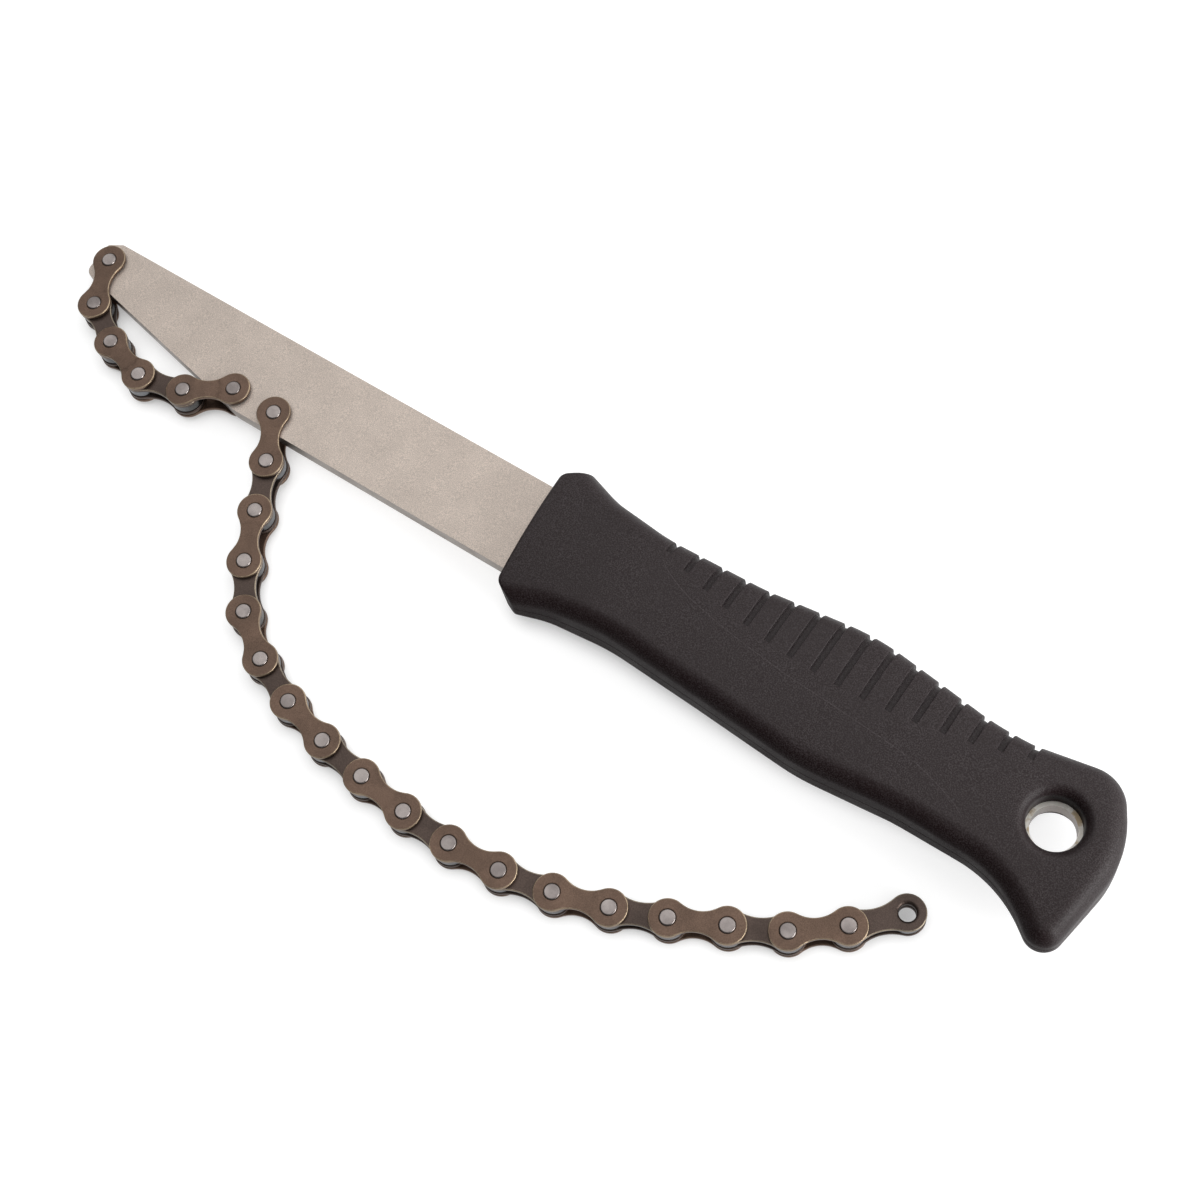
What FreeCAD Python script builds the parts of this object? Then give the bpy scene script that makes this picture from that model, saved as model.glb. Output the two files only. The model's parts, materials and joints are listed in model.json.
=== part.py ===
import FreeCAD, Part
import math
import os
from FreeCAD import Vector, Rotation, Placement

os.makedirs("parts", exist_ok=True)

# Bicycle chain whip: a flat steel blade with a moulded handle, a short length of roller chain pinned
# across its tip, and a long free length of the same chain pinned beside it.
# Everything on the blade is drawn in the blade's own frame, in millimetres: the first rivet hole is at
# x = 0, y = 0, x runs along the blade to the handle, y to its straight edge, and z = 0 is mid thickness.

# Roller chain, all links alike
pitch = 12.7
pin_radius = 1.8
pin_length = 7.2
plate_thickness = 1.0
inner_gap = 2.4              # between the two inner plates
side_gap = 0.14              # between an inner plate and the outer plate beside it
outer_end_radius = 4.2
outer_waist = 4.6
inner_end_radius = 4.1
inner_waist = 5.1
pin_play = 0.08              # radial, pin in collar
collar_wall = 0.6
collar_reach = 0.85          # how far each collar stands into the roller
collar_mouth = 0.45          # flare of the collar's mouth, on the plate's outer face
roller_radius = 3.875
roller_play = 0.1            # radial, roller on collar
roller_end_play = 0.08       # at each end of the roller

# Blade
blade_thickness = 4.0
blade_width = 22.7
blade_top = 5.7              # straight edge above the first hole
nose_reach = 4.0             # blade past the first hole
nose_chamfer_x = 3.6
nose_chamfer_y = 1.9
nose_depth = 5.3             # nose corner below the first hole
nose_radius = 2.6
nose_corner = 0.8
taper_length = 54.5          # from the first hole to where the oblique edge meets the lower edge
taper_radius = 10.0
blade_hole_play = 0.2        # radial, rivet in blade
hole_margin = 4.26           # the second and third holes above the lower edge
chain_hole_step = 12.7       # from the short chain's second hole to the long chain's hole

# Hanging hole
hang_back = 16.1             # from the butt of the handle
hang_radius = 5.0
hang_collar = 1.0            # bare steel round the hole
hang_lip = 2.6               # rounding of the handle round the hole

# Handle, seen from above: shares of its length from its front face, and its two edges at each
tool_length = 284.8          # from the first hole to the butt of the handle
handle_length = 150.2
front_slant = 2.6            # how much further back the front face is at its lower corner
ear_back_top = 5.3           # the flared front corners, behind the front face
ear_back_low = 7.8
ear_top = 12.2
ear_low = -23.7
corner_top = 8.4
corner_low = -21.2
flare_slope = 0.35
neck_back = 15.0             # from the front face
neck_top = 9.3
neck_low = -21.0
waist_share = 0.199
waist_top = 7.4
waist_low = -19.2
rise_share = 0.366
rise_top = 8.15
rise_low = -20.7
belly_share = 0.545
belly_top = 11.45
belly_low = -22.6
hollow_share = 0.749
hollow_low_share = 0.696
hollow_top = 7.3
hollow_low = -20.35
lift_share = 0.81
butt_top_share = 0.9415
butt_top = 11.2
butt_heel = -4.35            # height of the bulge of the rear end
butt_tip_share = 0.9705
butt_tip = -32.75
hook_share = 0.866
neck_round = 24.5
sweep_round = 55.0
butt_round = 8.8
heel_round = 28.5
tip_round = 4.5
ear_round = 1.2
spare = 1.0                  # handle stock in front of the front face, trimmed off
corner_round = 2.6

# Handle, thickness
half_front = 7.4
half_grip = 9.0
half_butt = 8.1
swell_share = 0.161          # where the full thickness is reached
thin_share = 0.6434          # where it starts to thin towards the butt
crown_radius = 90.0
handle_middle = -6.0         # line of the crown
edge_round = 4.6
rim_round = 0.9

# Finger grooves over the handle's upper edge
groove_step = 6.02
groove_first_share = 0.2184  # of the handle's length
groove_last_share = 0.8196
groove_width = 1.5
groove_depth = 0.8
groove_bottom = -4.2         # lowest groove's end
groove_middle_share = 0.523
groove_arc = 140.0

# The chains as they lie: heading of each link in degrees from the blade's long axis
short_headings = (-67.5, -30.0, -16.5, 10.5, 31.5)    # before the chain is turned to its second hole
long_headings = (-60.5, -65.0, -64.0, -53.0, -34.0, -21.5, -14.5, -8.5, -6.5,
                 -1.5, 4.5, 11.0, 17.5, 23.0, 25.5, 27.5, 38.0, 47.0)
drop_shares = (0.15, 0.27, 0.28, 0.20, 0.10)    # of the long chain's way down to the table
roll_shares = (0.70, 0.35)                      # of the blade's tilt still in the first links

# Sizes worked out from these
handle_start = tool_length - handle_length
hang_x = tool_length - hang_back
swell_x = swell_share * handle_length
thin_x = thin_share * handle_length
groove_first = groove_first_share * handle_length
groove_count = round((groove_last_share - groove_first_share) * handle_length / groove_step) + 1
outer_low = inner_gap / 2 + plate_thickness + side_gap
collar_bore = pin_radius + pin_play
collar_radius = collar_bore + collar_wall
blade_low = blade_top - blade_width
blade_middle = (blade_top + blade_low) / 2
blade_hole = pin_radius + blade_hole_play
pin_half = pin_length / 2
z_axis = Vector(0, 0, 1)


def rounded_outline(corners):
    """A closed wire of straight runs and tangent arcs. Each corner is x, y and its arc's radius, or 0.
    An arc takes at most half of the shorter run beside it."""
    count = len(corners)
    starts = []
    ends = []
    arcs = []
    for i in range(count):
        x, y, radius = corners[i]
        here = Vector(x, y, 0)
        back = Vector(corners[i - 1][0], corners[i - 1][1], 0) - here
        ahead = Vector(corners[(i + 1) % count][0], corners[(i + 1) % count][1], 0) - here
        half = back.getAngle(ahead) / 2
        reach = min(radius / math.tan(half), 0.499 * min(back.Length, ahead.Length))
        radius = reach * math.tan(half)
        back.normalize()
        ahead.normalize()
        starts.append(here + back * reach)
        ends.append(here + ahead * reach)
        if radius > 0:
            inward = back + ahead
            inward.normalize()
            middle = here + inward * (radius / math.sin(half) - radius)
            arcs.append([Part.Arc(starts[i], middle, ends[i]).toShape()])
        else:
            arcs.append([])
    edges = []
    for i in range(count):
        edges += arcs[i]
        edges.append(Part.makeLine(ends[i], starts[(i + 1) % count]))
    return Part.Wire(edges)


def slab(wire, low, high):
    """The solid between two heights inside a wire drawn at height 0."""
    face = Part.Face(wire)
    face.translate(Vector(0, 0, low))
    return face.extrude(Vector(0, 0, high - low))


def post(radius, low, high, x=0.0, y=0.0):
    """An upright cylinder between two heights."""
    return Part.makeCylinder(radius, high - low, Vector(x, y, low))


def chain_points(start, headings):
    """Pin centres of a run of links, in plan."""
    points = [start]
    for heading in headings:
        turn = math.radians(heading)
        points.append(points[-1] + Vector(math.cos(turn), math.sin(turn), 0) * pitch)
    return points


# Blade: cut from plate, ground at the nose, with three rivet holes and the hanging hole. It runs on
# through the handle as a tang with a round end about the hanging hole. The short chain keeps its shape
# and is turned about the first hole until its far end is at the second.
hole_line = blade_low + hole_margin
untwisted = chain_points(Vector(0, 0, 0), short_headings)[-1]
short_turn = math.degrees(math.asin(hole_line / untwisted.Length) - math.atan2(untwisted.y, untwisted.x))
short_lie = [heading + short_turn for heading in short_headings]
short_plan = chain_points(Vector(0, 0, 0), short_lie)
short_hole = short_plan[-1]
long_hole = short_hole + Vector(chain_hole_step, 0, 0)


def blade_blank():
    """The blade and its tang without holes."""
    tang_end = hang_x + blade_width / 2
    outline = rounded_outline([
        (hang_x, blade_top, 0),
        (nose_chamfer_x - nose_reach, blade_top, nose_corner),
        (-nose_reach, blade_top - nose_chamfer_y, nose_corner),
        (-nose_reach, -nose_depth, nose_radius),
        (taper_length, blade_low, taper_radius),
        (hang_x, blade_low, 0),
        (tang_end, blade_low, blade_width / 2 - 0.001),
        (tang_end, blade_top, blade_width / 2 - 0.001),
    ])
    return slab(outline, -blade_thickness / 2, blade_thickness / 2)


def make_blade():
    blade = blade_blank()
    for hole in (short_plan[0], short_hole, long_hole):
        blade = blade.cut(post(blade_hole, -blade_thickness, blade_thickness, hole.x, hole.y))
    return blade.cut(post(hang_radius, -blade_thickness, blade_thickness, hang_x, blade_middle))


# Handle: one piece of rubbery plastic moulded over the tang
def station(share):
    """The place along the tool of a share of the handle's length."""
    return handle_start + share * handle_length


def handle_corners():
    """The handle's outline from its upper front corner round the butt to its lower front corner."""
    front = handle_start - spare
    neck = handle_start + neck_back
    flare = flare_slope * (neck_back + spare)
    return [
        (front, neck_top + flare, 0),
        (neck, neck_top, neck_round),
        (station(waist_share), waist_top, sweep_round),
        (station(rise_share), rise_top, sweep_round),
        (station(belly_share), belly_top, sweep_round),
        (station(hollow_share), hollow_top, sweep_round),
        (station(lift_share), hollow_top, neck_round),
        (station(butt_top_share), butt_top, butt_round),
        (tool_length, butt_heel, heel_round),
        (station(butt_tip_share), butt_tip, tip_round),
        (station(hook_share), hollow_low, heel_round),
        (station(hollow_low_share), hollow_low, sweep_round),
        (station(belly_share), belly_low, sweep_round),
        (station(rise_share), rise_low, sweep_round),
        (station(waist_share), waist_low, sweep_round),
        (neck, neck_low, neck_round),
        (front, neck_low - flare, 0),
    ]


def crowned_block(inset):
    """A long block whose top and bottom are crowned, and as far apart as the handle is thick."""
    x = handle_start
    axis_depth = crown_radius - half_grip
    top = crown_radius - inset
    slope_front = (half_grip - half_front) / swell_x
    slope_butt = (half_grip - half_butt) / (handle_length - thin_x)
    back = x + handle_length + spare
    profile = rounded_outline([
        (x - spare, 0, 0),
        (x - spare, top - slope_front * (swell_x + spare), 0),
        (x + swell_x, top, sweep_round),
        (x + thin_x, top, sweep_round),
        (back, top - slope_butt * (handle_length + spare - thin_x), 0),
        (back, 0, 0),
    ])
    upper = Part.Face(profile).revolve(Vector(0, 0, 0), Vector(1, 0, 0), 180)
    lower = upper.mirror(Vector(0, 0, 0), z_axis)
    upper.translate(Vector(0, handle_middle, -axis_depth))
    lower.translate(Vector(0, handle_middle, axis_depth))
    return upper.common(lower)


def handle_body(inset):
    """The handle before its grooves and front, with its surface moved inwards by inset."""
    outline = rounded_outline(handle_corners())
    if inset > 0:
        outline = outline.makeOffset2D(-inset)
    block = slab(outline, -2 * half_grip, 2 * half_grip).common(crowned_block(inset))
    front = block.BoundBox.XMin
    rims = []
    for edge in block.Edges:
        ends = [vertex.Point for vertex in edge.Vertexes]
        upright = abs(ends[0].z - ends[-1].z) > half_front
        at_front = max(point.x for point in ends) < front + 0.001
        if not upright and not at_front:
            rims.append(edge)
    return block.makeFillet(edge_round - inset, rims)


def front_prism():
    """What is left of the handle's plan once its front face and front corners are trimmed."""
    x = handle_start
    far = x + 2 * handle_length
    wide = 2 * handle_length
    outline = rounded_outline([
        (x, corner_top, corner_round),
        (x + ear_back_top, ear_top, ear_round),
        (x + ear_back_top, wide, 0),
        (far, wide, 0),
        (far, -wide, 0),
        (x + ear_back_low, -wide, 0),
        (x + ear_back_low, ear_low, ear_round),
        (x + front_slant, corner_low, corner_round),
    ])
    return slab(outline, -2 * half_grip, 2 * half_grip)


def grooves():
    """The slots of the grooves, each from the handle's upper edge down to an arc across its face."""
    slots = []
    for i in range(groove_count):
        along = groove_first + i * groove_step
        off = along - groove_middle_share * handle_length
        end = groove_bottom + groove_arc - math.sqrt(groove_arc ** 2 - off ** 2)
        slot = Part.makeBox(groove_width, handle_length, 4 * half_grip)
        slot.translate(Vector(handle_start + along - groove_width / 2, end, -2 * half_grip))
        slots.append(slot)
    return Part.makeCompound(slots)


def edges_on(shape, walls, tall):
    """The edges of a shape that lie on some walls and climb less than tall."""
    found = []
    for edge in shape.Edges:
        ends = [vertex.Point for vertex in edge.Vertexes]
        middle = edge.valueAt((edge.FirstParameter + edge.LastParameter) / 2)
        gaps = [Part.Vertex(point).distToShape(walls)[0] for point in ends + [middle]]
        if max(gaps) < 0.001 and abs(ends[0].z - ends[-1].z) < tall:
            found.append(edge)
    return found


def make_handle():
    """Body, trimmed front with a softened rim, hanging hole with its rolled lip, grooves, tang slot."""
    trim = front_prism()
    body = handle_body(0).common(trim)
    body = body.makeFillet(rim_round, edges_on(body, trim.Shells[0], half_front))
    bore = post(hang_radius + hang_collar, -2 * half_grip, 2 * half_grip, hang_x, blade_middle)
    body = body.cut(bore)
    body = body.makeFillet(hang_lip, edges_on(body, bore.Shells[0], half_front))
    body = body.cut(grooves().cut(handle_body(groove_depth)))
    return body.cut(blade_blank())


# Roller chain. A link is drawn lying along x from its first pin to its second, mid height at z = 0.
def link_outline(end_radius, waist):
    """A figure of eight: two round ends joined by hollow flanks."""
    half = pitch / 2
    flank = (half ** 2 + (waist / 2) ** 2 - end_radius ** 2) / (2 * end_radius - waist)
    centre = waist / 2 + flank
    share = end_radius / (end_radius + flank)
    touch_x = half * share
    touch_y = centre * share
    near_top = Vector(touch_x, touch_y, 0)
    near_low = Vector(touch_x, -touch_y, 0)
    far_top = Vector(pitch - touch_x, touch_y, 0)
    far_low = Vector(pitch - touch_x, -touch_y, 0)
    return Part.Wire([
        Part.Arc(near_low, Vector(-end_radius, 0, 0), near_top).toShape(),
        Part.Arc(near_top, Vector(half, waist / 2, 0), far_top).toShape(),
        Part.Arc(far_top, Vector(pitch + end_radius, 0, 0), far_low).toShape(),
        Part.Arc(far_low, Vector(half, -waist / 2, 0), near_low).toShape(),
    ])


def both_sides(upper):
    """A plate and its mirror image below mid height."""
    return Part.makeCompound([upper, upper.mirror(Vector(0, 0, 0), z_axis)])


def outer_plates():
    plate = slab(link_outline(outer_end_radius, outer_waist), outer_low, outer_low + plate_thickness)
    for x in (0, pitch):
        plate = plate.cut(post(pin_radius, 0, pin_length, x))
    return both_sides(plate)


def inner_plates():
    """Two plates, each drawn down into a short collar round both holes, as in a bushingless chain."""
    low = inner_gap / 2
    high = low + plate_thickness
    plate = slab(link_outline(inner_end_radius, inner_waist), low, high)
    for x in (0, pitch):
        plate = plate.fuse(post(collar_radius, low - collar_reach, low, x))
        plate = plate.cut(post(collar_bore, 0, pin_length, x))
        mouth = Part.makeCone(collar_bore, collar_bore + collar_mouth, collar_mouth)
        mouth.translate(Vector(x, 0, high - collar_mouth))
        plate = plate.cut(mouth)
    return both_sides(plate.removeSplitter())


def pins():
    return Part.makeCompound([post(pin_radius, -pin_half, pin_half, x) for x in (0, pitch)])


def roller(x):
    half = inner_gap / 2 - roller_end_play
    tube = post(roller_radius, -half, half, x)
    return tube.cut(post(collar_radius + roller_play, -pin_length, pin_length, x))


# How the tool lies: its first rivets and the underside of the handle touch the table, so the blade
# slopes up to the handle. The long chain steps down to the table and lies flat from there.
def touch_down():
    """Where along the blade the handle touches the table."""
    turn = math.atan((half_grip - half_front) / swell_x)
    return handle_start + swell_x + sweep_round * math.tan(turn / 2)


tilt = math.atan((half_grip - pin_half) / (touch_down() + pin_radius))
lift = pin_radius * math.sin(tilt) + pin_half * math.cos(tilt)
lie = Placement(Vector(0, 0, lift), Rotation(Vector(0, 1, 0), -math.degrees(tilt)))


def long_points():
    """Pin centres of the long chain as it lies."""
    points = [lie.multVec(long_hole)]
    drop = points[0].z - pin_half
    for i in range(len(long_headings)):
        turn = math.radians(long_headings[i])
        fall = 0.0
        if i < len(drop_shares):
            fall = drop * drop_shares[i]
        level = math.sqrt(pitch ** 2 - fall ** 2)
        points.append(points[-1] + Vector(level * math.cos(turn), level * math.sin(turn), -fall))
    return points


def between(start, end, upright):
    """The place of a link from its first pin centre to its second, with its pins near upright."""
    along = (end - start).normalize()
    return Placement(start, Rotation(along, Vector(), upright, "XZY"))


def chain_links():
    """Each link's name, kind and place, in order from the blade."""
    links = []
    for i in range(len(short_headings)):
        flat = Placement(short_plan[i], Rotation(z_axis, short_lie[i]))
        links.append(("short_%d" % (i + 1), i % 2 == 0, lie * flat))
    blade_up = lie.Rotation.multVec(z_axis)
    points = long_points()
    for i in range(len(long_headings)):
        share = 0.0
        if i < len(roll_shares):
            share = roll_shares[i]
        upright = z_axis * (1 - share) + blade_up * share
        links.append(("long_%d" % (i + 1), i % 2 == 0, between(points[i], points[i + 1], upright)))
    return links


def placed(shape, place):
    moved = shape.copy()
    moved.Placement = place.multiply(moved.Placement)
    return moved


# Everything is set down with the middle of its footprint over the origin and the table at z = 0
def footprint_middle():
    lowest = min(point.y for point in long_points()) - outer_end_radius
    left = -outer_end_radius
    right = (handle_start + handle_length) * math.cos(tilt)
    return Vector((left + right) / 2, (ear_top + lowest) / 2, 0)


home = Placement(footprint_middle() * -1, Rotation())


def all_nodes():
    """Every piece by its name, in its place."""
    nodes = {"blade": placed(make_blade(), home * lie), "handle": placed(make_handle(), home * lie)}
    plates_out = outer_plates()
    plates_in = inner_plates()
    rivets = pins()
    for name, is_outer, place in chain_links():
        spot = home * place
        if is_outer:
            nodes[name + "_outer_plates"] = placed(plates_out, spot)
            nodes[name + "_pins"] = placed(rivets, spot)
        else:
            nodes[name + "_inner_plates"] = placed(plates_in, spot)
            nodes[name + "_roller_near"] = placed(roller(0), spot)
            nodes[name + "_roller_far"] = placed(roller(pitch), spot)
    return nodes


for node, shape in all_nodes().items():
    shape.exportStep("parts/" + node + ".step")
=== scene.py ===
import bmesh
import bpy
import json
import math
from mathutils import Matrix, Vector

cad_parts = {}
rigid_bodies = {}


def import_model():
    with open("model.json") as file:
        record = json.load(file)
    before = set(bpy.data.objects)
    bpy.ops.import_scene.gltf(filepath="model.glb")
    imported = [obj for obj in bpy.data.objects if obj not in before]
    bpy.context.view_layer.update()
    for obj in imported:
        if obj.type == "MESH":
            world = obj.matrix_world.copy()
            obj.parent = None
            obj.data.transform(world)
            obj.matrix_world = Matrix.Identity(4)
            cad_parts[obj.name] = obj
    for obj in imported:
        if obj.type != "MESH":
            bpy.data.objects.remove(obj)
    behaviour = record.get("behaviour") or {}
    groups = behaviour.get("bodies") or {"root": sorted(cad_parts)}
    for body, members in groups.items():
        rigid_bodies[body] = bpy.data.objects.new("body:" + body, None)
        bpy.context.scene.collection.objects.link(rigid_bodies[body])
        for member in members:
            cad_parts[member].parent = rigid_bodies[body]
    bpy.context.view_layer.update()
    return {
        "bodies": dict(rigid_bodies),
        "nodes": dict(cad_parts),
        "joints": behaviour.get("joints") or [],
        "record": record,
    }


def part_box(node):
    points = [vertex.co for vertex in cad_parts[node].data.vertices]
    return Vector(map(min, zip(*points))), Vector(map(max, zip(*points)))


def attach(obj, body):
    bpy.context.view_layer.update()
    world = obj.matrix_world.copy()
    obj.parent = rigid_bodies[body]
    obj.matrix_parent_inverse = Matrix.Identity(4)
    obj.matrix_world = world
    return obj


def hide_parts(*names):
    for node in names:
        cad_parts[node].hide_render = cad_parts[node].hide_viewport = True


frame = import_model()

mm = 0.001

# Blade
# One flat plate of tool steel, cut to shape, blasted to a fine sparkling grain and nickel plated a warm
# grey. The cut edges are smoother and greyer. It runs on through the handle as a tang, whose bare end
# shows as a bright rough ring round the hanging hole.
blade_edge_round = 0.16 * mm
blade_grain = 0.2 * mm
blade_bump = 0.02 * mm
blade_glint_share = 0.14
blade_glint_strength = 0.45
blade_grain_span = (0.36, 0.64)
blade_shades = (0.78, 1.16)
blade_cloud_shades = (0.95, 1.04)
blade_roughness = (0.48, 0.6)
blade_metallic = 0.75
blade_colour = (0.6, 0.52, 0.46, 1)
blade_glint_colour = (0.98, 0.9, 0.8, 1)
cut_edge_grain = 0.2 * mm
cut_edge_bump = 0.01 * mm
cut_edge_shades = (0.8, 1.15)
cut_edge_roughness = (0.35, 0.5)
cut_edge_metallic = 0.8
cut_edge_colour = (0.3, 0.265, 0.24, 1)
ring_inner = 8 * mm
ring_outer = 9 * mm
ring_metallic = 0.25
ring_stain_span = (0.42, 0.5)
ring_colour = (0.97, 0.93, 0.86, 1)
ring_stain_colour = (0.6, 0.47, 0.3, 1)
flat_angle = math.radians(1)
sharp_angle = math.radians(32)
rim_angle = math.radians(60)
merge_distance = 0.002 * mm

joints = {joint["name"]: joint for joint in frame["joints"]}
first_rivet = joints["short_1_hinge"]
blade_up = Vector(first_rivet["axis"])
blade_along = Vector((0, 1, 0)).cross(blade_up)
blade_place = Matrix.LocRotScale(Vector(first_rivet["pos_m"]),
                                 Matrix((blade_along, (0, 1, 0), blade_up)).transposed(), None)
hanging_hole = next(mount for mount in frame["record"]["mounts"] if mount["name"] == "hanging_hole")
hang_place = Vector(hanging_hole["pos_m"])


def set_inputs(tree, node, inputs):
    """Each named input gets a number, a colour, a vector or another node's output."""
    for name, value in inputs.items():
        if isinstance(value, bpy.types.NodeSocket):
            tree.links.new(value, node.inputs[name])
        else:
            node.inputs[name].default_value = value


def add_node(tree, kind, inputs=None, **settings):
    """A shader node with its settings made and its inputs filled."""
    node = tree.nodes.new("ShaderNode" + kind)
    for name, value in settings.items():
        setattr(node, name, value)
    set_inputs(tree, node, inputs or {})
    return node


def calculate(tree, operation, first, second):
    """The result of a sum on two values."""
    return add_node(tree, "Math", {0: first, 1: second}, operation=operation).outputs[0]


def blend_colours(tree, mask, first, second):
    """The first colour where a mask is 0 and the second where it is 1."""
    return add_node(tree, "Mix", {0: mask, 6: first, 7: second}, data_type="RGBA").outputs[2]


def shaded(tree, colour, shade):
    """A colour made darker or lighter."""
    return add_node(tree, "VectorMath", {0: colour[:3], "Scale": shade}, operation="SCALE").outputs[0]


def spread(tree, value, span, reach=(0.0, 1.0)):
    """A span of a value, stretched smoothly to another reach and held at its ends."""
    ends = {"From Min": span[0], "From Max": span[1], "To Min": reach[0], "To Max": reach[1]}
    node = add_node(tree, "MapRange", {"Value": value, **ends}, interpolation_type="SMOOTHSTEP")
    return node.outputs["Result"]


def stretch(tree, value, span, reach=(0.0, 1.0)):
    """A span of a value, stretched straight to another reach and carried on past its ends."""
    ends = {"From Min": span[0], "From Max": span[1], "To Min": reach[0], "To Max": reach[1]}
    return add_node(tree, "MapRange", {"Value": value, **ends}, clamp=False).outputs["Result"]


def new_group(name, inputs, outputs):
    """A node group of values. Its inputs are given with their default values."""
    group = bpy.data.node_groups.new(name, "ShaderNodeTree")
    for socket, value in inputs.items():
        made = group.interface.new_socket(socket, in_out="INPUT", socket_type="NodeSocketFloat")
        made.default_value = value
    for socket in outputs:
        group.interface.new_socket(socket, in_out="OUTPUT", socket_type="NodeSocketFloat")
    return group, group.nodes.new("NodeGroupInput").outputs, group.nodes.new("NodeGroupOutput").inputs


# Fine even grain with a few bright glints, and soft clouds many grains wide
cells_to_grains = 0.7
clouds_to_grains = 40.0
glint_fade = (0.45, 0.15)
grain_group, given, result = new_group("surface grain", {"Size": 0.0003, "Glint Share": 0.04},
                                       ("Grain", "Glints", "Clouds"))
place = add_node(grain_group, "TexCoord").outputs["Object"]
fineness = calculate(grain_group, "DIVIDE", 1.0, given["Size"])
grain_noise = add_node(grain_group, "TexNoise", {"Vector": place, "Scale": fineness, "Detail": 2.0})
grain_group.links.new(grain_noise.outputs["Fac"], result["Grain"])
cell_fineness = calculate(grain_group, "MULTIPLY", fineness, cells_to_grains)
cells = add_node(grain_group, "TexVoronoi", {"Vector": place, "Scale": cell_fineness})
chance = add_node(grain_group, "SeparateColor", {0: cells.outputs["Color"]}).outputs[0]
rare = calculate(grain_group, "LESS_THAN", chance, given["Glint Share"])
spot = spread(grain_group, cells.outputs["Distance"], glint_fade)
grain_group.links.new(calculate(grain_group, "MULTIPLY", rare, spot), result["Glints"])
cloud_fineness = calculate(grain_group, "DIVIDE", fineness, clouds_to_grains)
cloud_noise = add_node(grain_group, "TexNoise", {"Vector": place, "Scale": cloud_fineness, "Detail": 4.0,
                                                 "Roughness": 0.6})
grain_group.links.new(cloud_noise.outputs["Fac"], result["Clouds"])

# Spans of the grain's and the clouds' values: the narrower one is, the harder the contrast
faint = (0.2, 0.8)
soft = (0.3, 0.7)
firm = (0.35, 0.65)


def new_finish(name, grain_size, glint_share=0.0):
    """A material with a shader and a grain. Gives the material, its tree, its shader and its grain."""
    finish = bpy.data.materials.new(name)
    finish.use_nodes = True
    tree = finish.node_tree
    grain = add_node(tree, "Group", {"Size": grain_size, "Glint Share": glint_share}, node_tree=grain_group)
    return finish, tree, tree.nodes["Principled BSDF"], grain.outputs


def set_bump(tree, shader, height, depth):
    """Makes a shader's surface stand up where a height is greatest, by a depth at most."""
    bump = add_node(tree, "Bump", {"Height": height, "Strength": 1.0, "Distance": depth})
    tree.links.new(bump.outputs["Normal"], shader.inputs["Normal"])


def merged_copy(node):
    """A node's mesh with its loose triangles joined."""
    mesh = bmesh.new()
    mesh.from_mesh(frame["nodes"][node].data)
    bmesh.ops.remove_doubles(mesh, verts=mesh.verts, dist=merge_distance)
    return mesh


def round_rims(mesh, offset, segments, clamp=False):
    """Rounds every edge that turns more sharply than the rim angle."""
    rims = [edge for edge in mesh.edges if edge.calc_face_angle(0) > rim_angle]
    bmesh.ops.bevel(mesh, geom=rims, affect="EDGES", offset=offset, segments=segments, profile=0.5,
                    material=-1, clamp_overlap=clamp)


def finished_mesh(name, mesh):
    """A mesh datablock from a bmesh, shaded smooth apart from its sharp edges."""
    data = bpy.data.meshes.new(name)
    mesh.to_mesh(data)
    mesh.free()
    if "custom_normal" in data.attributes:
        data.attributes.remove(data.attributes["custom_normal"])
    data.shade_smooth()
    data.set_sharp_from_angle(angle=sharp_angle)
    return data


def add_piece(name, data, node, body, finishes):
    """A piece that stands for a node and rides on its body."""
    piece = bpy.data.objects.new(name, data)
    bpy.context.scene.collection.objects.link(piece)
    for finish in finishes:
        data.materials.append(finish)
    weights = piece.modifiers.new("even flats", "WEIGHTED_NORMAL")
    weights.keep_sharp = True
    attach(piece, body)
    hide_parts(node)


blade_finish, tree, shader, grain = new_finish("blasted nickel", blade_grain, blade_glint_share)
shade = calculate(tree, "MULTIPLY", spread(tree, grain["Grain"], blade_grain_span, blade_shades),
                  spread(tree, grain["Clouds"], soft, blade_cloud_shades))
glints = calculate(tree, "MULTIPLY", grain["Glints"], blade_glint_strength)
glinting = blend_colours(tree, glints, shaded(tree, blade_colour, shade), blade_glint_colour)
place = add_node(tree, "TexCoord").outputs["Object"]
from_hole = add_node(tree, "VectorMath", {0: place, 1: hang_place}, operation="DISTANCE").outputs["Value"]
stain = blend_colours(tree, spread(tree, grain["Clouds"], ring_stain_span), ring_stain_colour, ring_colour)
near_hole = spread(tree, from_hole, (ring_outer, ring_inner))
set_inputs(tree, shader, {
    "Base Color": blend_colours(tree, near_hole, glinting, stain),
    "Metallic": spread(tree, from_hole, (ring_inner, ring_outer), (ring_metallic, blade_metallic)),
    "Roughness": spread(tree, grain["Grain"], soft, blade_roughness)})
set_bump(tree, shader, grain["Grain"], blade_bump)

cut_edge_finish, tree, shader, grain = new_finish("cut edge", cut_edge_grain)
shade = spread(tree, grain["Grain"], faint, cut_edge_shades)
set_inputs(tree, shader, {
    "Base Color": shaded(tree, cut_edge_colour, shade),
    "Metallic": cut_edge_metallic,
    "Roughness": spread(tree, grain["Clouds"], soft, cut_edge_roughness)})
set_bump(tree, shader, grain["Grain"], cut_edge_bump)

blade_mesh = merged_copy("blade")
bmesh.ops.dissolve_limit(blade_mesh, verts=blade_mesh.verts, edges=blade_mesh.edges, angle_limit=flat_angle)
for face in blade_mesh.faces:
    if abs(face.normal.dot(blade_up)) < 0.5:
        face.material_index = 1
round_rims(blade_mesh, blade_edge_round, 2, clamp=True)
add_piece("blade_and_tang", finished_mesh("blade_and_tang", blade_mesh), "blade", "tool",
          [blade_finish, cut_edge_finish])

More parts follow.
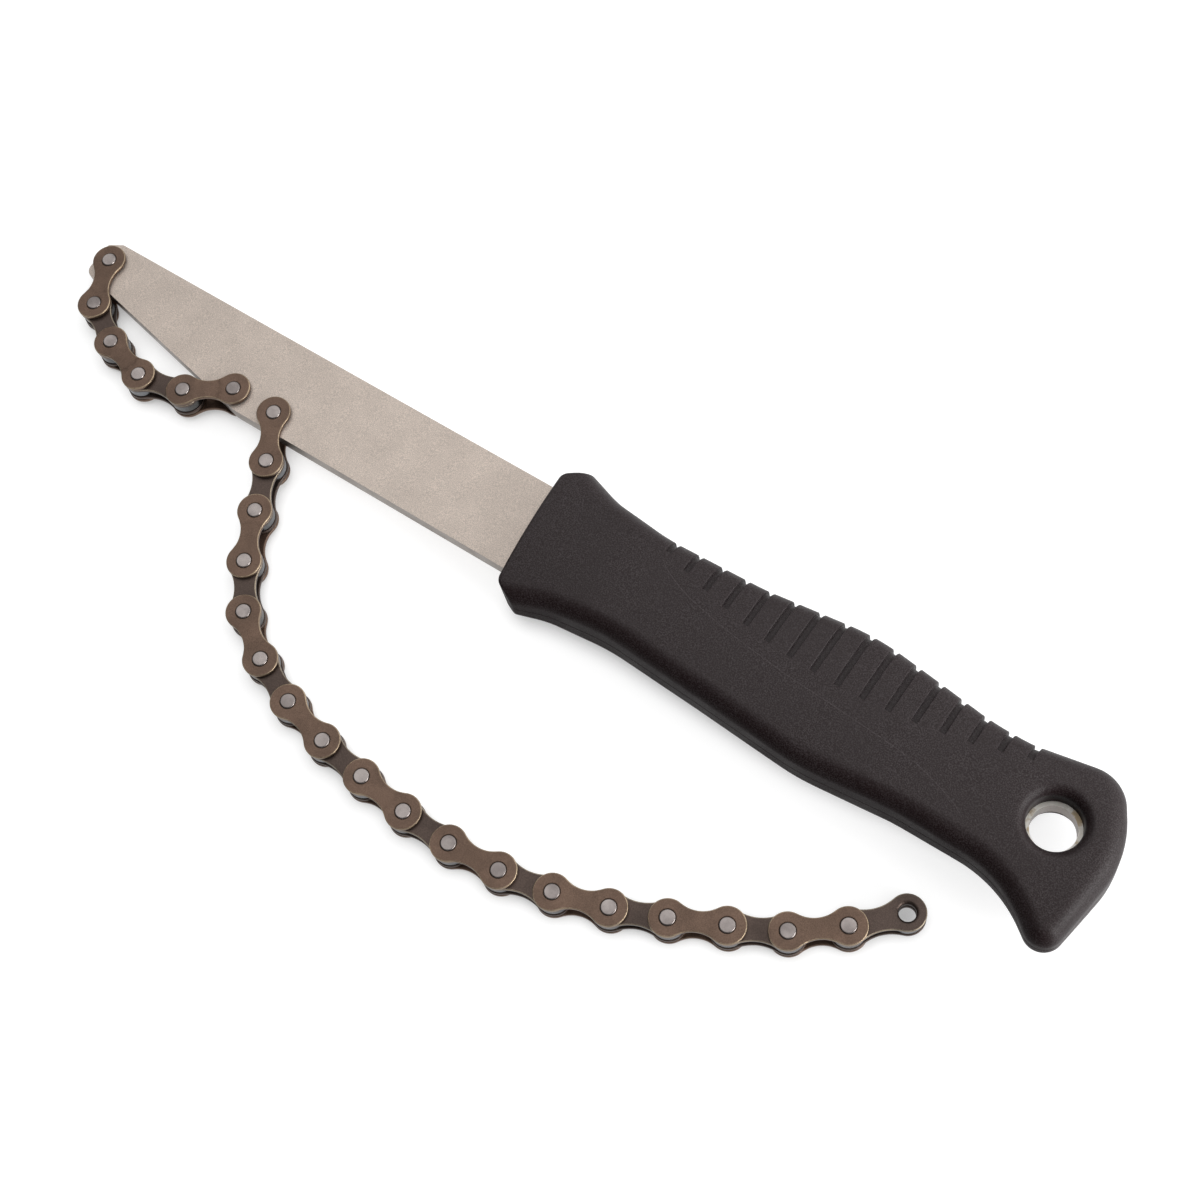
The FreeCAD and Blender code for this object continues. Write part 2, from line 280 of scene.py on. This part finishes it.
# Handle
# One moulding of rubbery black plastic round the tang, with sixteen finger grooves, a rolled lip round
# the hanging hole and a fine line round its edge where the two halves of the mould met. A faint crease
# bounds the grooved part of each face, which lies a hair lower than the rest.
handle_colour = (0.0175, 0.0105, 0.011, 1)
handle_speck_and_highlight_colour = (0.075, 0.064, 0.066, 1)
handle_grain = 0.28 * mm
handle_bump = 0.06 * mm
handle_glint_share = 0.12
handle_glint_strength = 0.35
handle_speck_span = (0.4, 0.66)
handle_specks = (0.0, 0.42)
handle_cloud_span = (0.25, 0.75)
handle_cloud_shades = (0.6, 1.2)
handle_roughness = (0.44, 0.54)
chain_side_facing = (-0.8, -0.2)
chain_side_painted_shade_sheen = (0.03, 0.28)
crease_span = (166 * mm, 254 * mm)
crease_reach = (-17 * mm, 3 * mm)
crease_points = ((0, 1), (0.07, 0.78), (0.18, 0.634), (0.44, 0.4715), (0.6, 0.425), (0.815, 0.343),
                 (0.885, 0.27), (0.96, 0.15), (1, 0))
crease_fade = 0.04
crease_half_width = 0.18 * mm
crease_step = 0.04 * mm
crease_painted_highlight = 0.3
groove_edge_round = 0.14 * mm
parting_depth = 0.14 * mm
parting_half_width = 0.2 * mm
tang_side_top = 5.8 * mm
tang_side_low = -17.1 * mm
tang_end_margin = 10 * mm
on_plane = 0.001 * mm
cut_tolerance = 0.0001 * mm
sliver_length = 0.03 * mm

handle_finish, tree, shader, grain = new_finish("moulded rubbery plastic", handle_grain, handle_glint_share)
place = add_node(tree, "TexCoord").outputs["Object"]
from_rivet = add_node(tree, "VectorMath", {0: place, 1: first_rivet["pos_m"]}, operation="SUBTRACT")
from_rivet = from_rivet.outputs[0]
along = add_node(tree, "VectorMath", {0: from_rivet, 1: blade_along}, operation="DOT_PRODUCT")
across = add_node(tree, "SeparateXYZ", {0: from_rivet}).outputs["Y"]
share = stretch(tree, along.outputs["Value"], crease_span)
sweep = add_node(tree, "FloatCurve", {"Value": share})
points = sweep.mapping.curves[0].points
points[0].location, points[1].location = crease_points[0], crease_points[-1]
for point in crease_points[1:-1]:
    points.new(*point)
sweep.mapping.update()
line = stretch(tree, sweep.outputs[0], (0.0, 1.0), crease_reach)
above = spread(tree, calculate(tree, "SUBTRACT", across, line), (-crease_half_width, crease_half_width))
fade = calculate(tree, "MULTIPLY", spread(tree, share, (0.0, crease_fade)),
                 spread(tree, share, (1.0, 1.0 - crease_fade)))
sunk = calculate(tree, "MULTIPLY", calculate(tree, "MULTIPLY", above, fade), crease_step)
grain_height = calculate(tree, "MULTIPLY", grain["Grain"], handle_bump)
set_bump(tree, shader, calculate(tree, "SUBTRACT", grain_height, sunk), 1.0)
# Painted highlight: a pale line painted along the crease, mixed in with the specks, where the crease's step
# catches the light
painted_crease_line = calculate(tree, "MULTIPLY", calculate(tree, "PINGPONG", above, 0.5), 2 * crease_painted_highlight)
specks_and_highlights = calculate(tree, "MULTIPLY", spread(tree, grain["Grain"], handle_speck_span, handle_specks),
                   spread(tree, grain["Clouds"], handle_cloud_span, handle_cloud_shades))
specks_and_highlights = calculate(tree, "ADD", specks_and_highlights, calculate(tree, "MULTIPLY", grain["Glints"], handle_glint_strength))
specks_and_highlights = calculate(tree, "ADD", specks_and_highlights, calculate(tree, "MULTIPLY", painted_crease_line, fade))
# Painted shade: faces turned towards the chains get less sheen, so that side of the grip looks darker
facing = add_node(tree, "SeparateXYZ", {0: add_node(tree, "NewGeometry").outputs["Normal"]}).outputs["Y"]
set_inputs(tree, shader, {
    "Base Color": blend_colours(tree, specks_and_highlights, handle_colour, handle_speck_and_highlight_colour),
    "Roughness": spread(tree, grain["Clouds"], soft, handle_roughness),
    "Specular IOR Level": spread(tree, facing, chain_side_facing, chain_side_painted_shade_sheen)})


def whole(mesh):
    """All of a bmesh's parts."""
    return mesh.verts[:] + mesh.edges[:] + mesh.faces[:]


def cut_across(mesh, place, normal):
    """Adds edges where a plane passes through a bmesh."""
    bmesh.ops.bisect_plane(mesh, geom=whole(mesh), dist=cut_tolerance, plane_co=place, plane_no=normal)


handle_mesh = merged_copy("handle")
for height in (-parting_half_width, 0.0, parting_half_width):
    cut_across(handle_mesh, blade_place @ Vector((0, 0, height)), blade_up)
handle_mesh.normal_update()
to_blade = blade_place.inverted()
tang_end = (to_blade @ hang_place).x + tang_end_margin
for vert in handle_mesh.verts:
    local = to_blade @ vert.co
    beside_tang = local.x < tang_end and tang_side_low < local.y < tang_side_top
    if abs(local.z) < on_plane and not beside_tang:
        vert.co -= vert.normal * parting_depth
bmesh.ops.dissolve_degenerate(handle_mesh, edges=handle_mesh.edges, dist=sliver_length)
round_rims(handle_mesh, groove_edge_round, 1)
add_piece("moulded_grip", finished_mesh("moulded_grip", handle_mesh), "handle", "tool",
          [handle_finish])

# Outer links
# Each is a pair of figure of eight plates, stamped from brown finished spring steel. The punch leaves
# rounded rims, which wear through to bright metal, and sets the waist a little lower than the ends.
pitch = 12.7 * mm
half_pitch = pitch / 2
plate_thickness = 1.0 * mm
outer_end_radius = 4.2 * mm
outer_waist = 4.6 * mm
outer_low = 2.34 * mm
pin_radius = 1.8 * mm
rim_round = 0.22 * mm
rim_segments = 3
rim_band = 0.3 * mm
waist_drop = 0.09 * mm
waist_bend_start = 3.35 * mm
waist_bend_end = 3.65 * mm
arc_steps = 40
weld_distance = 0.01 * mm
plate_grain = 0.22 * mm
plate_bump = 0.014 * mm
plate_cloud_relief = 6.0
plate_shades = (0.82, 1.16)
plate_cloud_shades = (0.8, 1.18)
plate_roughness = (0.36, 0.46)
plate_metallic = 0.85
wear_gloss = 0.14
wear_raggedness = 0.5
wear_span = (0.45, 0.85)
wear_patches = (0.5, 1.0)
outer_colour = (0.138, 0.09, 0.066, 1)
outer_worn_colour = (0.62, 0.49, 0.33, 1)
outer_wear = 0.6


def only_verts(parts):
    """The vertices among an operator's results."""
    return [part for part in parts if isinstance(part, bmesh.types.BMVert)]


def hollow_flank(end_radius, waist):
    """The radius of a link plate's hollow flanks and how far their centres lie from its middle line."""
    radius = (half_pitch ** 2 + (waist / 2) ** 2 - end_radius ** 2) / (2 * end_radius - waist)
    return radius, waist / 2 + radius


def turn_edge(mesh, tip, centre, degrees, steps):
    """Carries a line of edges on from a vertex along an arc, and gives the last vertex."""
    turned = bmesh.ops.spin(mesh, geom=[tip], cent=centre, axis=(0, 0, 1), angle=math.radians(degrees),
                            steps=steps)
    return only_verts(turned["geom_last"])[0]


def add_outline(mesh, end_radius, waist, height):
    """A link plate's outline at a height: two round ends joined by hollow flanks."""
    flank, across = hollow_flank(end_radius, waist)
    share = end_radius / (end_radius + flank)
    swing = math.degrees(math.atan2(across, half_pitch))
    tip = mesh.verts.new((half_pitch * share, -across * share, height))
    tip = turn_edge(mesh, tip, (0, 0, height), 2 * swing - 360, arc_steps)
    tip = turn_edge(mesh, tip, (half_pitch, across, height), 180 - 2 * swing, arc_steps // 3)
    tip = turn_edge(mesh, tip, (pitch, 0, height), 2 * swing - 360, arc_steps)
    turn_edge(mesh, tip, (half_pitch, -across, height), 180 - 2 * swing, arc_steps // 3)


def plate(end_radius, waist, hole_radius, low):
    """A flat plate with two holes, its underside at a height. A line inside its outline bounds the rim."""
    mesh = bmesh.new()
    add_outline(mesh, end_radius, waist, low)
    for x in (0, pitch):
        start = mesh.verts.new((x + hole_radius, 0, low))
        bmesh.ops.spin(mesh, geom=[start], cent=(x, 0, low), axis=(0, 0, 1), angle=math.radians(360),
                       steps=arc_steps, use_merge=True)
    bmesh.ops.remove_doubles(mesh, verts=mesh.verts, dist=weld_distance)
    bmesh.ops.triangle_fill(mesh, edges=mesh.edges, use_beauty=True)
    bmesh.ops.inset_region(mesh, faces=mesh.faces, thickness=rim_band, use_boundary=True,
                           use_even_offset=True)
    raised = bmesh.ops.extrude_face_region(mesh, geom=mesh.faces)
    bmesh.ops.translate(mesh, verts=only_verts(raised["geom"]), vec=(0, 0, plate_thickness))
    bmesh.ops.recalc_face_normals(mesh, faces=mesh.faces)
    return mesh


def bend_waist(mesh):
    """Sets the part between the plate's ends a little lower than they are."""
    for x in (waist_bend_start, waist_bend_end, pitch - waist_bend_end, pitch - waist_bend_start):
        cut_across(mesh, (x, 0, 0), (1, 0, 0))
    for vert in mesh.verts:
        if min(vert.co.x, pitch - vert.co.x) > waist_bend_end - weld_distance:
            vert.co.z -= waist_drop


def add_mirror_image(mesh):
    """The same form again, turned over below mid height."""
    twins = bmesh.ops.duplicate(mesh, geom=whole(mesh))
    bmesh.ops.scale(mesh, verts=only_verts(twins["geom"]), vec=(1, 1, -1))
    bmesh.ops.recalc_face_normals(mesh, faces=mesh.faces)


def mark_rims(data, end_radius, waist, face_height):
    """An attribute that falls from 1 along the outer face's rim to 0 over the face and down the side."""
    flank, across = hollow_flank(end_radius, waist)
    touch = half_pitch * end_radius / (end_radius + flank)
    marks = data.attributes.new("rim", "FLOAT", "POINT")
    for vert, mark in zip(data.vertices, marks.data):
        x = min(vert.co.x, pitch - vert.co.x)
        y = abs(vert.co.y)
        inside = end_radius - math.hypot(x, y)
        if x > touch:
            inside = math.hypot(half_pitch - x, across - y) - flank
        depth = max(0.0, face_height - abs(vert.co.z) - rim_round / 2)
        mark.value = max(0.0, 1.0 - math.hypot(max(inside - rim_round / 2, 0.0), depth) / rim_band)


def link_place(name, plates, axis):
    """The place of a link: its first rivet at the origin, its second along x, its rivets along z."""
    start = Vector(joints[name + "_hinge"]["pos_m"])
    low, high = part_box(name + plates)
    along = ((low + high) / 2 - start).normalized()
    up = Vector(axis)
    if up.z < 0:
        up = -up
    side = up.cross(along).normalized()
    return Matrix.LocRotScale(start, Matrix((along, side, along.cross(side))).transposed(), None)


# Bright metal at a rim, broken up by the grain
worn_group, given, result = new_group("worn rim", {"Rim": 0.0, "Grain": 0.5, "Clouds": 0.5}, ("Wear",))
roughened = calculate(worn_group, "SUBTRACT", given["Grain"], 0.5)
ragged = calculate(worn_group, "ADD", given["Rim"],
                   calculate(worn_group, "MULTIPLY", roughened, wear_raggedness))
wear = calculate(worn_group, "MULTIPLY", spread(worn_group, ragged, wear_span),
                 spread(worn_group, given["Clouds"], firm, wear_patches))
worn_group.links.new(wear, result["Wear"])


def browned_steel(name, colour, worn_colour, wear_share):
    """Brown finished steel, worn bright at its rims."""
    finish, tree, shader, grain = new_finish(name, plate_grain)
    rim = add_node(tree, "Attribute", attribute_name="rim").outputs["Fac"]
    worn = add_node(tree, "Group", {"Rim": rim, "Grain": grain["Grain"], "Clouds": grain["Clouds"]},
                    node_tree=worn_group)
    wear = calculate(tree, "MULTIPLY", worn.outputs["Wear"], wear_share)
    shade = calculate(tree, "MULTIPLY", spread(tree, grain["Grain"], soft, plate_shades),
                      spread(tree, grain["Clouds"], firm, plate_cloud_shades))
    rough = calculate(tree, "SUBTRACT", spread(tree, grain["Clouds"], firm, plate_roughness),
                      calculate(tree, "MULTIPLY", wear, wear_gloss))
    set_inputs(tree, shader, {
        "Base Color": blend_colours(tree, wear, shaded(tree, colour, shade), worn_colour),
        "Metallic": plate_metallic,
        "Roughness": rough})
    clouds = calculate(tree, "MULTIPLY", grain["Clouds"], plate_cloud_relief)
    set_bump(tree, shader, calculate(tree, "ADD", grain["Grain"], clouds), plate_bump)
    return finish


def add_copy(name, form, place, node, body, finish):
    """A piece that is a copy of a form's mesh, moved to its place."""
    data = form.copy()
    data.transform(place)
    add_piece(name, data, node, body, [finish])


outer_finish = browned_steel("browned outer plate", outer_colour, outer_worn_colour, outer_wear)
outer_mesh = plate(outer_end_radius, outer_waist, pin_radius, outer_low)
round_rims(outer_mesh, rim_round, rim_segments)
bend_waist(outer_mesh)
add_mirror_image(outer_mesh)
outer_pair = finished_mesh("outer_plate_pair", outer_mesh)
mark_rims(outer_pair, outer_end_radius, outer_waist, outer_low + plate_thickness)

outer_links = [name for name in frame["bodies"] if name + "_outer_plates" in frame["nodes"]]
inner_links = [name for name in frame["bodies"] if name + "_inner_plates" in frame["nodes"]]
places = {}
for name in outer_links:
    places[name] = link_place(name, "_outer_plates", joints[name + "_hinge"]["axis"])
    add_copy(name + "_outer_link", outer_pair, places[name], name + "_outer_plates", name,
             outer_finish)

# Rivets
# Each outer link's two rivets are turned from hard bright steel and pressed through its plates. Their
# ends stand a little proud, flat and cloudy, with a rounded rim that catches the light.
pin_length = 7.2 * mm
pin_steps = 48
pin_round = 0.34 * mm
pin_round_segments = 5
pin_grain = 0.16 * mm
pin_bump = 0.008 * mm
pin_clouding = (0.6, 1.0)
pin_roughness = (0.24, 0.36)
pin_metallic = 0.9
pin_colour = (0.36, 0.32, 0.305, 1)
pin_cloud_colour = (0.17, 0.148, 0.142, 1)

pin_finish, tree, shader, grain = new_finish("bright rivet steel", pin_grain)
cloudy = calculate(tree, "MULTIPLY", spread(tree, grain["Clouds"], soft),
                   spread(tree, grain["Grain"], faint, pin_clouding))
set_inputs(tree, shader, {
    "Base Color": blend_colours(tree, cloudy, pin_colour, pin_cloud_colour),
    "Metallic": pin_metallic,
    "Roughness": spread(tree, grain["Clouds"], soft, pin_roughness)})
set_bump(tree, shader, grain["Grain"], pin_bump)

rivet_mesh = bmesh.new()
for x in (0, pitch):
    bmesh.ops.create_cone(rivet_mesh, cap_ends=True, segments=pin_steps, radius1=pin_radius,
                          radius2=pin_radius, depth=pin_length, matrix=Matrix.Translation((x, 0, 0)))
round_rims(rivet_mesh, pin_round, pin_round_segments)
rivet_pair = finished_mesh("rivet_pair", rivet_mesh)
for name in outer_links:
    add_copy(name + "_rivets", rivet_pair, places[name], name + "_pins", name, pin_finish)

# Inner links
# Each is a pair of darker plates. Round every hole the plate is drawn down into a short collar that
# carries a roller, which leaves a smooth round mouth: it shows at the chain's empty last hole.
inner_end_radius = 4.1 * mm
inner_waist = 5.1 * mm
inner_low = 1.2 * mm
inner_top = inner_low + plate_thickness
collar_bore = 1.88 * mm
collar_radius = 2.48 * mm
collar_reach = 0.85 * mm
mouth_radius = 2.75 * mm
mouth_depth = 0.75 * mm
mouth_steps = 6
same_place = 0.02 * mm
inner_colour = (0.08, 0.058, 0.049, 1)
inner_worn_colour = (0.5, 0.42, 0.31, 1)
inner_wear = 0.7


def hole_edges(mesh, x, height):
    """The edges of a plate's hole at a height."""
    found = []
    for edge in mesh.edges:
        gaps = [abs(math.hypot(vert.co.x - x, vert.co.y) - mouth_radius) + abs(vert.co.z - height)
                for vert in edge.verts]
        if max(gaps) < same_place:
            found.append(edge)
    return found


def draw_on(mesh, edges, x, radius, height):
    """Carries a ring of edges on to another radius and height round a hole's axis."""
    drawn = bmesh.ops.extrude_edge_only(mesh, edges=edges)["geom"]
    verts = only_verts(drawn)
    growth = radius / math.hypot(verts[0].co.x - x, verts[0].co.y)
    bmesh.ops.scale(mesh, verts=verts, vec=(growth, growth, 1), space=Matrix.Translation((-x, 0, 0)))
    bmesh.ops.translate(mesh, verts=verts, vec=(0, 0, height - verts[0].co.z))
    return [part for part in drawn if isinstance(part, bmesh.types.BMEdge)]


def draw_collar(mesh, x):
    """Opens the plate round a hole, rolls its top rim down into a collar and joins it to the underside."""
    walls = []
    for face in mesh.faces:
        middle = face.calc_center_median()
        if math.hypot(middle.x - x, middle.y) < mouth_radius + on_plane and abs(face.normal.z) < 0.9:
            walls.append(face)
    bmesh.ops.delete(mesh, geom=walls, context="FACES")
    ring = hole_edges(mesh, x, inner_top)
    lower = hole_edges(mesh, x, inner_low)
    for step in range(1, mouth_steps + 1):
        turn = math.radians(90 * step / mouth_steps)
        radius = mouth_radius - (mouth_radius - collar_bore) * math.sin(turn)
        ring = draw_on(mesh, ring, x, radius, inner_top - mouth_depth * (1 - math.cos(turn)))
    collar_low = inner_low - collar_reach
    ring = draw_on(mesh, ring, x, collar_bore, collar_low)
    ring = draw_on(mesh, ring, x, collar_radius, collar_low)
    ring = draw_on(mesh, ring, x, collar_radius, inner_low)
    bmesh.ops.bridge_loops(mesh, edges=ring + lower)


inner_finish = browned_steel("dark inner plate", inner_colour, inner_worn_colour, inner_wear)
inner_mesh = plate(inner_end_radius, inner_waist, mouth_radius, inner_low)
for x in (0, pitch):
    draw_collar(inner_mesh, x)
bmesh.ops.recalc_face_normals(inner_mesh, faces=inner_mesh.faces)
round_rims(inner_mesh, rim_round, rim_segments)
add_mirror_image(inner_mesh)
inner_pair = finished_mesh("inner_plate_pair", inner_mesh)
mark_rims(inner_pair, inner_end_radius, inner_waist, inner_top)
for name in inner_links:
    places[name] = link_place(name, "_inner_plates", joints[name + "_roller_near_spin"]["axis"])
    add_copy(name + "_inner_link", inner_pair, places[name], name + "_inner_plates", name,
             inner_finish)

# Rollers
# Short hardened tubes that turn on the collars between the inner plates, ground to a blue grey shine
# with rounded rims.
roller_radius = 3.875 * mm
roller_bore = 2.58 * mm
roller_half = 1.12 * mm
roller_steps = 56
roller_round = 0.3 * mm
roller_grain = 0.2 * mm
roller_bump = 0.006 * mm
roller_roughness = (0.26, 0.36)
roller_metallic = 1.0
roller_colour = (0.16, 0.165, 0.175, 1)
roller_dark_colour = (0.07, 0.068, 0.066, 1)

roller_finish, tree, shader, grain = new_finish("ground roller steel", roller_grain)
clouded = spread(tree, grain["Clouds"], firm)
set_inputs(tree, shader, {
    "Base Color": blend_colours(tree, clouded, roller_colour, roller_dark_colour),
    "Metallic": roller_metallic,
    "Roughness": spread(tree, grain["Grain"], soft, roller_roughness)})
set_bump(tree, shader, grain["Grain"], roller_bump)

roller_mesh = bmesh.new()
corners = [roller_mesh.verts.new((radius, 0, height)) for radius, height in
           ((roller_bore, -roller_half), (roller_radius, -roller_half),
            (roller_radius, roller_half), (roller_bore, roller_half))]
section = [roller_mesh.edges.new((corners[i - 1], corners[i])) for i in range(4)]
bmesh.ops.spin(roller_mesh, geom=corners + section, cent=(0, 0, 0), axis=(0, 0, 1), angle=math.radians(360),
               steps=roller_steps, use_merge=True)
bmesh.ops.remove_doubles(roller_mesh, verts=roller_mesh.verts, dist=weld_distance)
bmesh.ops.recalc_face_normals(roller_mesh, faces=roller_mesh.faces)
round_rims(roller_mesh, roller_round, rim_segments)
roller = finished_mesh("roller", roller_mesh)
for name in inner_links:
    for end, x in (("near", 0), ("far", pitch)):
        node = name + "_roller_" + end
        add_copy(name + "_" + end + "_roller", roller, places[name] @ Matrix.Translation((x, 0, 0)), node, node,
                 roller_finish)

# Table and light
# The tool lies on a white table under a broad soft light from above, with a smaller one low beyond the
# handle's butt and a third on the side away from the chains, towards which the room is brighter. The
# table shows pure white to the camera and keeps a faint shadow; close under the tool a deeper painted
# shadow dims its glow.
table_size = 6.0
table_colour = (0.42, 0.42, 0.42, 1)
table_roughness = 0.9
table_glow = 0.8
painted_contact_shadow_glow = 0.25
contact_reach = 5 * mm
contact_samples = 12
lights = (("ceiling light", (-0.3, 0.35, 1.25), 1.7, 1.7, 7.8),
          ("side light", (0.85, 0.1, 0.33), 0.6, 0.35, 6.0),
          ("window light", (0.5, 0.95, 0.62), 0.8, 0.5, 3.0))
room_bright_way = (0.3, 0.75, 0.59)
room_span = (-0.35, 0.8)
room_brightness = (0.06, 0.5)

table_mesh = bmesh.new()
bmesh.ops.create_grid(table_mesh, x_segments=1, y_segments=1, size=table_size / 2)
table_data = bpy.data.meshes.new("table")
table_mesh.to_mesh(table_data)
table_mesh.free()
table = bpy.data.objects.new("table", table_data)
bpy.context.scene.collection.objects.link(table)
table_finish = bpy.data.materials.new("white table")
table_finish.use_nodes = True
tree = table_finish.node_tree
light_path = add_node(tree, "LightPath").outputs
seen = calculate(tree, "MAXIMUM", light_path["Is Camera Ray"],
                 calculate(tree, "MAXIMUM", light_path["Is Glossy Ray"], light_path["Is Transmission Ray"]))
# Painted contact shadow: the table's glow is dimmed where the tool lies close above it
openness = add_node(tree, "AmbientOcclusion", {"Distance": contact_reach}, samples=contact_samples)
glow = spread(tree, openness.outputs["AO"], (0.0, 1.0), (painted_contact_shadow_glow, table_glow))
set_inputs(tree, tree.nodes["Principled BSDF"], {
    "Base Color": table_colour,
    "Roughness": table_roughness,
    "Emission Color": (1, 1, 1, 1),
    "Emission Strength": calculate(tree, "MULTIPLY", glow, seen)})
table_data.materials.append(table_finish)

for name, place, wide, high, power in lights:
    light = bpy.data.lights.new(name, "AREA")
    light.shape = "RECTANGLE"
    light.size = wide
    light.size_y = high
    light.energy = power
    lamp = bpy.data.objects.new(name, light)
    lamp.location = place
    lamp.rotation_euler = (-Vector(place)).to_track_quat("-Z", "Y").to_euler()
    bpy.context.scene.collection.objects.link(lamp)

world = bpy.data.worlds.new("room")
world.use_nodes = True
tree = world.node_tree
way = add_node(tree, "TexCoord").outputs["Generated"]
towards = add_node(tree, "VectorMath", {0: way, 1: room_bright_way}, operation="DOT_PRODUCT").outputs["Value"]
set_inputs(tree, tree.nodes["Background"], {
    "Color": (1, 1, 1, 1),
    "Strength": spread(tree, towards, room_span, room_brightness)})
bpy.context.scene.world = world

# Camera
# It stands over the handle's side towards the chains and looks down at the tool, rolled so that the
# blade points up and left.
camera_place = Vector((148.33, -95.65, 414.9)) * mm
camera_forward = Vector((-0.295289, 0.266392, -0.917514))
camera_up = Vector((-0.488043, 0.783532, 0.384568))
camera_right = camera_forward.cross(camera_up)
focal_pixels = 1970.0
frame_pixels = 1200.0
camera_data = bpy.data.cameras.new("camera")
camera_data.sensor_width = 36.0
camera_data.lens = focal_pixels / frame_pixels * camera_data.sensor_width
camera_data.clip_start = 0.01
camera = bpy.data.objects.new("camera", camera_data)
camera_turn = Matrix((camera_right, camera_up, -camera_forward)).transposed()
camera.matrix_world = Matrix.LocRotScale(camera_place, camera_turn, None)
bpy.context.scene.collection.objects.link(camera)
bpy.context.scene.camera = camera
bpy.context.scene.view_settings.view_transform = "Standard"
